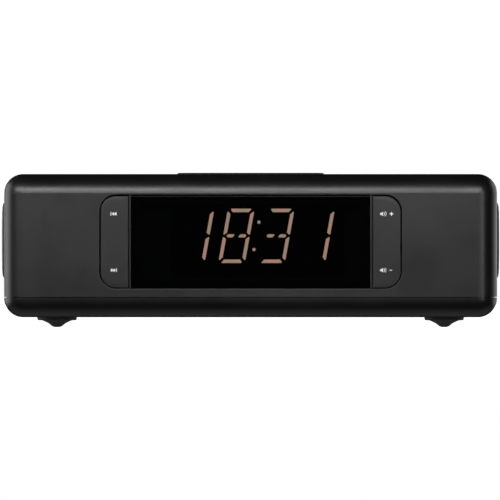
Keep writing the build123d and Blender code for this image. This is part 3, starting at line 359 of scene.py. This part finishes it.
def printed_symbol(name, outlines, origin, across, up, body, thickness=0.025 * MM):
    """Ink on a flat face: closed outlines in millimetres about origin, raised off the face."""
    out = Vector(across).cross(Vector(up))
    mesh = bmesh.new()
    for outline in outlines:
        lower = [
            mesh.verts.new(Vector(origin) + Vector(across) * u * MM + Vector(up) * v * MM)
            for u, v in outline
        ]
        face = mesh.faces.new(lower)
        raised = bmesh.ops.extrude_face_region(mesh, geom=[face])
        moved = [item for item in raised["geom"] if isinstance(item, bmesh.types.BMVert)]
        bmesh.ops.translate(mesh, verts=moved, vec=out * thickness)
    bmesh.ops.recalc_face_normals(mesh, faces=mesh.faces)
    return mesh_piece(name, mesh, "print_white", body)


def rectangle(u, v, width, height):
    return [(u - width / 2, v - height / 2), (u + width / 2, v - height / 2),
            (u + width / 2, v + height / 2), (u - width / 2, v + height / 2)]


def arc_band(u, v, radius, width, start, end, steps=14):
    """A bent stroke: an arc about (u, v) from start to end in degrees."""
    angles = [math.radians(start + (end - start) * step / steps) for step in range(steps + 1)]
    outer = [(u + (radius + width / 2) * math.cos(a), v + (radius + width / 2) * math.sin(a))
             for a in angles]
    inner = [(u + (radius - width / 2) * math.cos(a), v + (radius - width / 2) * math.sin(a))
             for a in reversed(angles)]
    return outer + inner


def disc(u, v, radius, steps=24):
    return [(u + radius * math.cos(2 * math.pi * step / steps),
             v + radius * math.sin(2 * math.pi * step / steps)) for step in range(steps)]


# ---------------------------------------------------------------- printed symbols
def skip_outlines(way):
    """Two triangles and a bar: way is -1 for the previous track and +1 for the next."""
    half_height = 0.8
    triangles = [
        [(way * (start + 0.95), 0), (way * start, half_height), (way * start, -half_height)]
        for start in (-1.17, -0.17)
    ]
    return triangles + [rectangle(way * 1.1, 0, 0.3, 2 * half_height)]


def volume_outlines(louder):
    """A plain loudspeaker with two sound waves, then a plus or a minus."""
    horn = [(-2.75, -0.42), (-2.2, -0.42), (-1.5, -0.95), (-1.5, 0.95), (-2.2, 0.42), (-2.75, 0.42)]
    waves = [arc_band(-1.7, 0, 0.85, 0.24, -48, 48), arc_band(-1.7, 0, 1.45, 0.24, -42, 42)]
    sign = [rectangle(1.95 if louder else 1.7, 0, 1.5 if louder else 1.1, 0.34)]
    if louder:
        sign += [rectangle(1.95, 0.46, 0.34, 0.58), rectangle(1.95, -0.46, 0.34, 0.58)]
    return [horn] + waves + sign


def front_symbols():
    """Previous and next on the track key, louder and quieter on the volume key."""
    across, up = (1, 0, 0), (0, 0, 1)
    track = middle("track_key")
    volume = middle("volume_key")
    rise = 11.62 * MM
    previous_x, next_x = track.x - 0.35 * MM, track.x - 0.3 * MM
    places = {
        "previous_mark": (previous_x, track.z + rise, skip_outlines(-1), "track_rocker"),
        "next_mark": (next_x, track.z - rise, skip_outlines(1), "track_rocker"),
        "louder_mark": (volume.x, volume.z + rise, volume_outlines(True), "volume_rocker"),
        "quieter_mark": (volume.x, volume.z - rise, volume_outlines(False), "volume_rocker"),
    }
    for name, (x, z, outlines, body) in places.items():
        printed_symbol(name, outlines, (x, lowest("track_key").y, z), across, up, body)


def top_symbols():
    """Generic symbols on the flush keys, and a crescent on the snooze bar."""
    across, up = (1, 0, 0), (0, 1, 0)
    bell = [(-1.3, -0.9), (1.3, -0.9), (0.95, -0.5), (0.8, 0.5), (0.35, 1.1), (-0.35, 1.1),
            (-0.8, 0.5), (-0.95, -0.5)]
    clapper = disc(0, -1.3, 0.3)
    first, second = rectangle(2.3, 0.1, 0.35, 1.8), rectangle(3.0, 0.1, 0.35, 1.8)
    symbols = {
        "mode": [arc_band(0, 0, 1.3, 0.32, -60, 240), rectangle(0, 0.9, 0.32, 1.3)],
        "alarm_one": [bell, clapper, first],
        "alarm_two": [bell, clapper, first, second],
        "set": [arc_band(0, 0, 1.4, 0.28, 0, 180), arc_band(0, 0, 1.4, 0.28, 180, 360),
                rectangle(0, 0.45, 0.26, 0.9), rectangle(0.35, 0, 0.7, 0.26)],
    }
    for key, outlines in symbols.items():
        node = f"{key}_key"
        spot = middle(node)
        spot.z = highest(node).z
        printed_symbol(f"{key}_mark", outlines, spot, across, up, f"{key}_button")
    spot = middle("snooze_bar")
    spot.z = highest("snooze_bar").z
    outer = [(2.2 * math.cos(math.radians(a)), 2.2 * math.sin(math.radians(a)))
             for a in range(60, 301, 10)]
    inner = [(1.1 + 1.9 * math.cos(math.radians(a)), 1.9 * math.sin(math.radians(a)))
             for a in range(270, 89, -10)]
    printed_symbol("snooze_mark", [outer + inner], spot, across, up, "snooze")


def rear_symbols():
    """Plain symbols beside the sockets on the back, read from behind."""
    across, up = (-1, 0, 0), (0, 0, 1)
    panel_y = highest("rear_panel").y
    dc, aux = middle("dc_jack"), middle("aux_jack")
    line_z = highest("rear_panel").z - 5.2 * MM
    polarity = [disc(0, 0, 0.45), arc_band(0, 0, 1.05, 0.28, 130, 410),
                rectangle(-2.3, 0, 1.6, 0.28), rectangle(2.0, 0, 1.9, 0.28),
                rectangle(-3.9, 0, 1.0, 0.3), rectangle(3.9, 0, 1.0, 0.3),
                rectangle(3.9, 0.4, 0.3, 0.5), rectangle(3.9, -0.4, 0.3, 0.5)]
    phones = [arc_band(0, -0.3, 1.5, 0.32, 0, 180), rectangle(-1.45, -0.85, 0.75, 1.3),
              rectangle(1.45, -0.85, 0.75, 1.3)]
    printed_symbol("dc_mark", polarity, (dc.x, panel_y, line_z), across, up, "case")
    printed_symbol("aux_mark", phones, (aux.x, panel_y, line_z), across, up, "case")


# ---------------------------------------------------------------- speaker grilles
def oblong(length, height, radius, inset, steps=14):
    """The outline of a grille, shrunk by inset, as points about its centre."""
    half_l, half_h = length / 2 - inset, height / 2 - inset
    turn = max(radius - inset, 0.2 * MM)
    points = []
    for corner in range(4):
        centre = Vector(((half_l - turn) * (1 if corner in (0, 3) else -1),
                         (half_h - turn) * (1 if corner in (0, 1) else -1)))
        for step in range(steps + 1):
            angle = math.radians(90 * corner + 90 * step / steps)
            points.append(centre + Vector((math.cos(angle), math.sin(angle))) * turn)
    return points


def edge_distance(point, length, height, radius):
    """How far a point lies inside the grille's outline."""
    over = Vector((max(abs(point.x) - (length / 2 - radius), 0),
                   max(abs(point.y) - (height / 2 - radius), 0)))
    if over.x > 0 and over.y > 0:
        return radius - over.length
    return min(length / 2 - abs(point.x), height / 2 - abs(point.y))


def perforated_grille(side):
    """A pressed sheet with round holes in close rows, curved down to the case at its rim."""
    node = f"{side}_grille"
    body_side = -1 if side == "left" else 1
    low, high = lowest(node), highest(node)
    flange = 1.2 * MM
    length, height = high.y - low.y - 2 * flange, high.z - low.z - 2 * flange
    corner = 7.0 * MM
    centre = middle(node)
    bulge = (high.x if body_side > 0 else -low.x) - BODY_HIGH.x
    roll = 1.8 * MM
    crown = 0.1 * MM
    sheet = 0.5 * MM
    plain_border = 1.6 * MM
    skirt_depth = 1.6 * MM
    hole_sides = 10
    with_holes = 4  # the output kind that keeps the constrained faces and leaves the holes open

    points, edges = [], []

    def loop(outline):
        first = len(points)
        points.extend(outline)
        count = len(outline)
        edges.extend((first + k, first + (k + 1) % count) for k in range(count))

    loop(oblong(length, height, corner, 0.0))
    for inset in (0.12, 0.4, 0.8):
        loop(oblong(length, height, corner, inset * MM))
    pitch, hole = 1.9 * MM, 0.52 * MM
    row_step = pitch * math.sqrt(3) / 2
    rows = int(height / 2 / row_step) + 1
    columns = int(length / 2 / pitch) + 1
    for row in range(-rows, rows + 1):
        for column in range(-columns, columns + 1):
            spot = Vector(((column + (row % 2) / 2) * pitch, row * row_step))
            if edge_distance(spot, length, height, corner) > plain_border:
                loop([spot + Vector((math.cos(a), math.sin(a))) * hole
                      for a in (2 * math.pi * k / hole_sides for k in range(hole_sides))])
    flat, _, faces, _, _, _ = delaunay_2d_cdt(points, edges, [], with_holes, 1e-7)

    def rise(point):
        """Height of the sheet over the case wall: a rounded rim, then a slight crown."""
        inside = min(max(edge_distance(point, length, height, corner), 0.0) / roll, 1.0)
        edge = (bulge - crown) * math.sqrt(max(1 - (1 - inside) ** 2, 0.0))
        middle_share = max(0.0, 1 - (point.y / (height / 2)) ** 2)
        return edge + crown * middle_share

    mesh = bmesh.new()
    verts = [
        mesh.verts.new((body_side * (BODY_HIGH.x + rise(p)), centre.y + p.x, centre.z + p.y))
        for p in flat
    ]
    for face in faces:
        if len(set(face)) >= 3:
            mesh.faces.new([verts[k] for k in face])
    rim = [e for e in mesh.edges if e.is_boundary and min(
        edge_distance(Vector((v.co.y - centre.y, v.co.z - centre.z)), length, height, corner)
        for v in e.verts) < 0.05 * MM]
    skirt = bmesh.ops.extrude_edge_only(mesh, edges=rim)
    dropped = [item for item in skirt["geom"] if isinstance(item, bmesh.types.BMVert)]
    bmesh.ops.translate(mesh, verts=dropped, vec=Vector((-body_side * skirt_depth, 0, 0)))
    bmesh.ops.recalc_face_normals(mesh, faces=mesh.faces)
    piece = mesh_piece(f"{side}_grille_sheet", mesh, "grille_black", "case")
    for face in piece.data.polygons:
        face.use_smooth = True
    thicken = piece.modifiers.new("thickness", "SOLIDIFY")
    thicken.thickness = sheet
    thicken.offset = -1.0
    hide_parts(node)


def window_trim():
    """The narrow bright edge along the top of the window."""
    low, high = lowest("display_window"), highest("display_window")
    inset, height = 0.15 * MM, 0.14 * MM
    front, back = low.y - 0.03 * MM, low.y + 0.4 * MM
    mesh = bmesh.new()
    corners = [mesh.verts.new((x, y, z)) for x in (low.x + inset, high.x - inset)
               for y in (front, back) for z in (high.z - height, high.z)]
    box_faces = ((0, 1, 3, 2), (4, 6, 7, 5), (0, 4, 5, 1), (2, 3, 7, 6), (0, 2, 6, 4),
                 (1, 5, 7, 3))
    for face in box_faces:
        mesh.faces.new([corners[k] for k in face])
    bmesh.ops.recalc_face_normals(mesh, faces=mesh.faces)
    mesh_piece("window_trim", mesh, "case_black", "case")


front_symbols()
top_symbols()
window_trim()
rear_symbols()
for side in ("left", "right"):
    perforated_grille(side)


# ---------------------------------------------------------------- floor, light and camera
def floor():
    """Pale paper: it glows evenly, and neither lights nor shades the radio."""
    mesh = bmesh.new()
    bmesh.ops.create_grid(mesh, x_segments=8, y_segments=8, size=6.0)
    data = bpy.data.meshes.new("floor")
    mesh.to_mesh(data)
    mesh.free()
    ground = bpy.data.objects.new("floor", data)
    bpy.context.scene.collection.objects.link(ground)
    made, tree, shader = blank_material("floor paint")
    paint = noise(tree, 0.4, detail=2.0)
    tree.links.new(blend(tree, paint, (0.8, 0.8, 0.8, 1.0), (0.84, 0.84, 0.84, 1.0)),
                   shader.inputs["Base Color"])
    shader.inputs["Roughness"].default_value = 0.9
    shader.inputs["Emission Color"].default_value = (1.0, 1.0, 1.0, 1.0)
    shader.inputs["Emission Strength"].default_value = 0.97
    data.materials.append(made)
    ground.visible_diffuse = False
    ground.visible_glossy = False
    ground.visible_shadow = False


def studio_world():
    """White to the camera, and a dim even room to everything else."""
    world = bpy.data.worlds.new("studio")
    bpy.context.scene.world = world
    world.use_nodes = True
    tree = world.node_tree
    tree.nodes.clear()
    seen = shader_node(tree, "ShaderNodeLightPath").outputs["Is Camera Ray"]
    room = shader_node(tree, "ShaderNodeBackground", {"Color": (1, 1, 1, 1), "Strength": 0.012})
    paper = shader_node(tree, "ShaderNodeBackground", {"Color": (1, 1, 1, 1), "Strength": 1.05})
    mix = shader_node(tree, "ShaderNodeMixShader")
    tree.links.new(seen, mix.inputs[0])
    tree.links.new(room.outputs[0], mix.inputs[1])
    tree.links.new(paper.outputs[0], mix.inputs[2])
    out = shader_node(tree, "ShaderNodeOutputWorld")
    tree.links.new(mix.outputs[0], out.inputs[0])


def softbox(name, around, elevation, distance, width, height, radiance):
    """A rectangular light that faces the radio. around is 0 in front and 90 at its right."""
    data = bpy.data.lights.new(name, "AREA")
    data.shape = "RECTANGLE"
    data.size = width
    data.size_y = height
    data.energy = radiance * math.pi * width * height
    lamp = bpy.data.objects.new(name, data)
    bpy.context.scene.collection.objects.link(lamp)
    a, e = math.radians(around), math.radians(elevation)
    way = Vector((math.sin(a) * math.cos(e), -math.cos(a) * math.cos(e), math.sin(e)))
    lamp.location = BODY_CENTRE + way * distance
    lamp.rotation_mode = "QUATERNION"
    lamp.rotation_quaternion = (-way).to_track_quat("-Z", "Y")
    lamp.visible_camera = False


def lights():
    # name: degrees around, degrees up, distance, width and height in metres, radiance
    boxes = {
        "front_box": (-14, 22, 0.62, 0.85, 0.12, 13.5),
        "left_rim": (-106, 6, 1.0, 0.9, 0.9, 2.3),
        "right_rim": (123, 6, 1.0, 0.8, 0.9, 1.25),
        "right_kick": (29, 2, 1.1, 0.12, 0.4, 7.2),
        "back_box": (180, 3, 0.9, 1.2, 0.15, 1.5),
        "under_glow": (180, -80, 0.6, 1.6, 0.7, 0.27),
    }
    for name, setting in boxes.items():
        softbox(name, *setting)


def camera():
    """A long lens level with the middle of the picture, square to the front."""
    lens = 400.0
    sensor = 36.0
    width_with_margin = 1.0142
    eye_above_body = 27.85 * MM
    eye_x = -0.25 * MM
    body_width = BODY_HIGH.x - BODY_LOW.x
    shown_width = body_width * width_with_margin
    silhouette_y = FRONT_Y + 8 * MM
    data = bpy.data.cameras.new("camera")
    data.lens = lens
    data.sensor_width = sensor
    made = bpy.data.objects.new("camera", data)
    bpy.context.scene.collection.objects.link(made)
    distance = shown_width * lens / sensor
    made.location = (eye_x, silhouette_y - distance, BODY_LOW.z + eye_above_body)
    made.rotation_euler = (math.radians(90), 0, 0)
    bpy.context.scene.camera = made


floor()
studio_world()
lights()
camera()
bpy.context.scene.view_settings.view_transform = "Standard"
